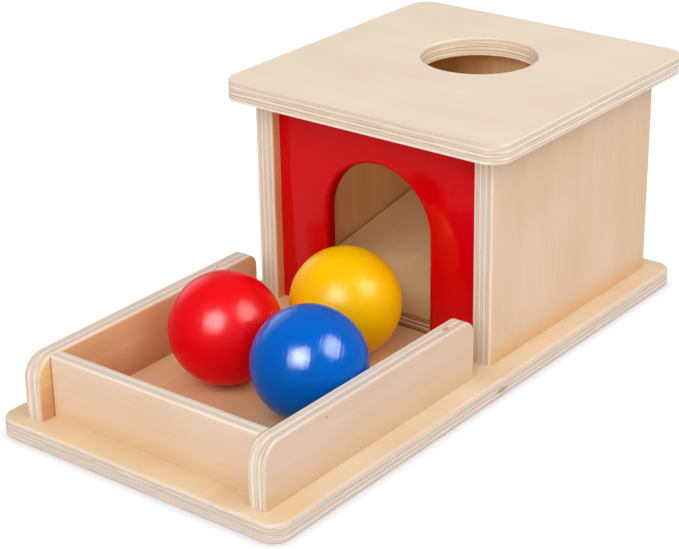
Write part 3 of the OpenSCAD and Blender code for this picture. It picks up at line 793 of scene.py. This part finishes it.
for socket in screwTree.interface.items_tree:
    if socket.in_out == "INPUT" and socket.name in screwSettings:
        screwing[socket.identifier] = screwSettings[socket.name]
bakeModifiers(baseScrews)
bpy.data.objects.remove(screwModel)
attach(baseScrews, "box")
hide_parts(*screwNodes)
print("screws driven:", len(screwPlaces))

# studio: white sweep underfoot, two far softboxes, a white card on the left, a white backdrop
# behind and a dim room in front.
# level is the light a lamp gives a surface that faces it, where 1 is white; shine is the
# brightness of its face in the gloss of the painted balls
studio = {
    "floorHalf": 6.0, "floorColor": "#F0F0F0", "floorDiffuse": 0.18, "floorWhite": 0.9,
    "contactReach": 0.005, "contactDark": 0.72, "contactFull": 0.4,
    "fill": 0.52, "roomDim": 0.08, "glossWhite": 0.45,
    "backdrop": (-0.616, 0.788, 0.0), "backdropRange": (-0.2, 0.6),
    "tableNear": 0.35, "tableFar": 0.9,  # in gloss the table fades into the room
    "softboxes": [
        {"name": "frontSoftbox", "azimuth": 16.0, "elevation": 37.0, "level": 0.5, "shine": 90.0},
        {"name": "sideSoftbox", "azimuth": 104.0, "elevation": 42.0, "level": 0.32, "shine": 48.0},
        {"name": "leftCard", "azimuth": 251.5, "elevation": 16.0, "level": 0.0, "shine": 2.6},
    ],
    "away": 10.0, "size": 7.6, "core": 9.6, "coreSoft": (0.12, 0.5), "shineNearer": 0.1,
}


# rays that show a thing to the eye, directly or in gloss
def seenRays(tree):
    path = addNode(tree, "ShaderNodeLightPath")
    direct = addNode(tree, "ShaderNodeMath", {
        0: path.outputs["Is Camera Ray"], 1: path.outputs["Is Transmission Ray"]}, operation="MAXIMUM")
    return direct.outputs[0], path.outputs["Is Glossy Ray"]


floorShape = bmesh.new()
half = studio["floorHalf"]
floorShape.faces.new([floorShape.verts.new((x, y, 0)) for x, y in
                      ((-half, -half), (half, -half), (half, half), (-half, half))])
floor = newPiece("floor", floorShape)
floorMaterial, tree = newMaterial("whiteFloor")
direct, glossy = seenRays(tree)
seen = addNode(tree, "ShaderNodeMath", {0: direct, 1: glossy}, operation="MAXIMUM").outputs[0]
coords = addNode(tree, "ShaderNodeTexCoord")
outward = addNode(tree, "ShaderNodeVectorMath", {0: coords.outputs["Object"]}, operation="LENGTH")
inGloss = addNode(tree, "ShaderNodeMapRange", {
    "Value": outward.outputs["Value"], "From Min": studio["tableNear"], "From Max": studio["tableFar"],
    "To Min": studio["glossWhite"], "To Max": studio["roomDim"]}, interpolation_type="SMOOTHSTEP")
inGloss = addNode(tree, "ShaderNodeMix", {0: direct, 2: inGloss.outputs[0], 3: 1.0})
# painted contact shadow: ambient occlusion dims the floor's white glow near the toy
contact = addNode(tree, "ShaderNodeAmbientOcclusion", {"Distance": studio["contactReach"]}).outputs["AO"]
contact = addNode(tree, "ShaderNodeMapRange", {
    "Value": contact, "From Min": studio["contactFull"],
    "To Min": studio["contactDark"] * studio["floorWhite"], "To Max": studio["floorWhite"]}).outputs[0]
plain = addNode(tree, "ShaderNodeBsdfDiffuse", {"Color": linearColor(studio["floorColor"])})
shaded = addNode(tree, "ShaderNodeBsdfDiffuse", {
    "Color": [c * studio["floorDiffuse"] for c in linearColor(studio["floorColor"])]})
contact = addNode(tree, "ShaderNodeMath", {
    0: contact, 1: inGloss.outputs[0]}, operation="MULTIPLY").outputs[0]
white = addNode(tree, "ShaderNodeEmission", {"Strength": contact})
shown = addNode(tree, "ShaderNodeAddShader", {0: shaded.outputs[0], 1: white.outputs[0]})
floorShader = addNode(tree, "ShaderNodeMixShader", {0: seen, 1: plain.outputs[0], 2: shown.outputs[0]})
addNode(tree, "ShaderNodeOutputMaterial", {"Surface": floorShader.outputs[0]})
floor.data.materials.append(floorMaterial)

for box in studio["softboxes"]:
    azimuth, elevation = math.radians(box["azimuth"]), math.radians(box["elevation"])
    toward = Vector((math.sin(azimuth) * math.cos(elevation), -math.cos(azimuth) * math.cos(elevation),
                     math.sin(elevation)))
    lampWatts = box["level"] * (math.pi * studio["away"]) ** 2
    shineWatts = box["shine"] * math.pi * studio["core"] ** 2
    shineAway = studio["away"] - studio["shineNearer"]
    for name, size, watts, away, inGlossOnly in (
            (box["name"], studio["size"], lampWatts, studio["away"], False),
            (box["name"] + "Shine", studio["core"], shineWatts, shineAway, True)):
        if not watts:
            continue  # the card lights nothing, it only shows in gloss
        lamp = bpy.data.lights.new(name, "AREA")
        lamp.shape, lamp.size, lamp.energy = "SQUARE", size, watts
        softbox = bpy.data.objects.new(name, lamp)
        softbox.location = toward * away
        softbox.rotation_euler = toward.to_track_quat("Z", "Y").to_euler()
        softbox.visible_diffuse = not inGlossOnly
        softbox.visible_camera = False
        if inGlossOnly:  # brightest in the middle, fading to its rim
            softbox.light_linking.receiver_collection = painted
            lamp.use_nodes = True
            tree = lamp.node_tree
            tree.nodes.clear()
            across = addNode(tree, "ShaderNodeNewGeometry").outputs["Parametric"]
            across = addNode(tree, "ShaderNodeVectorMath", {
                0: across, 1: (0.5, 0.5, 0)}, operation="SUBTRACT")  # from the middle
            across = addNode(tree, "ShaderNodeVectorMath", {0: across.outputs[0]}, operation="LENGTH")
            glow = addNode(tree, "ShaderNodeMapRange", {
                "Value": across.outputs["Value"], "From Min": studio["coreSoft"][0],
                "From Max": studio["coreSoft"][1], "To Min": 1.0, "To Max": 0.0},
                interpolation_type="SMOOTHSTEP")
            glow = addNode(tree, "ShaderNodeEmission", {"Strength": glow.outputs[0]})
            addNode(tree, "ShaderNodeOutputLight", {"Surface": glow.outputs[0]})
        scene.collection.objects.link(softbox)

# the surroundings show white to the eye; in gloss they are white behind the toy and dim in
# front of it; to everything else they are a soft fill
world = bpy.data.worlds.new("whiteStudio")
scene.world = world
world.use_nodes = True
tree = world.node_tree
tree.nodes.clear()
direct, glossy = seenRays(tree)
coords = addNode(tree, "ShaderNodeTexCoord")
behind = addNode(tree, "ShaderNodeVectorMath", {
    0: coords.outputs["Generated"], 1: studio["backdrop"]}, operation="DOT_PRODUCT")
behind = addNode(tree, "ShaderNodeMapRange", {
    "Value": behind.outputs["Value"], "From Min": studio["backdropRange"][0],
    "From Max": studio["backdropRange"][1], "To Min": studio["roomDim"],
    "To Max": studio["glossWhite"]}, interpolation_type="SMOOTHSTEP")
strength = addNode(tree, "ShaderNodeMix", {0: glossy, 2: studio["fill"], 3: behind.outputs[0]})
strength = addNode(tree, "ShaderNodeMix", {0: direct, 2: strength.outputs[0], 3: 1.0})
background = addNode(tree, "ShaderNodeBackground", {
    "Color": (1, 1, 1, 1), "Strength": strength.outputs[0]})
addNode(tree, "ShaderNodeOutputWorld", {"Surface": background.outputs[0]})
print("studio lit")
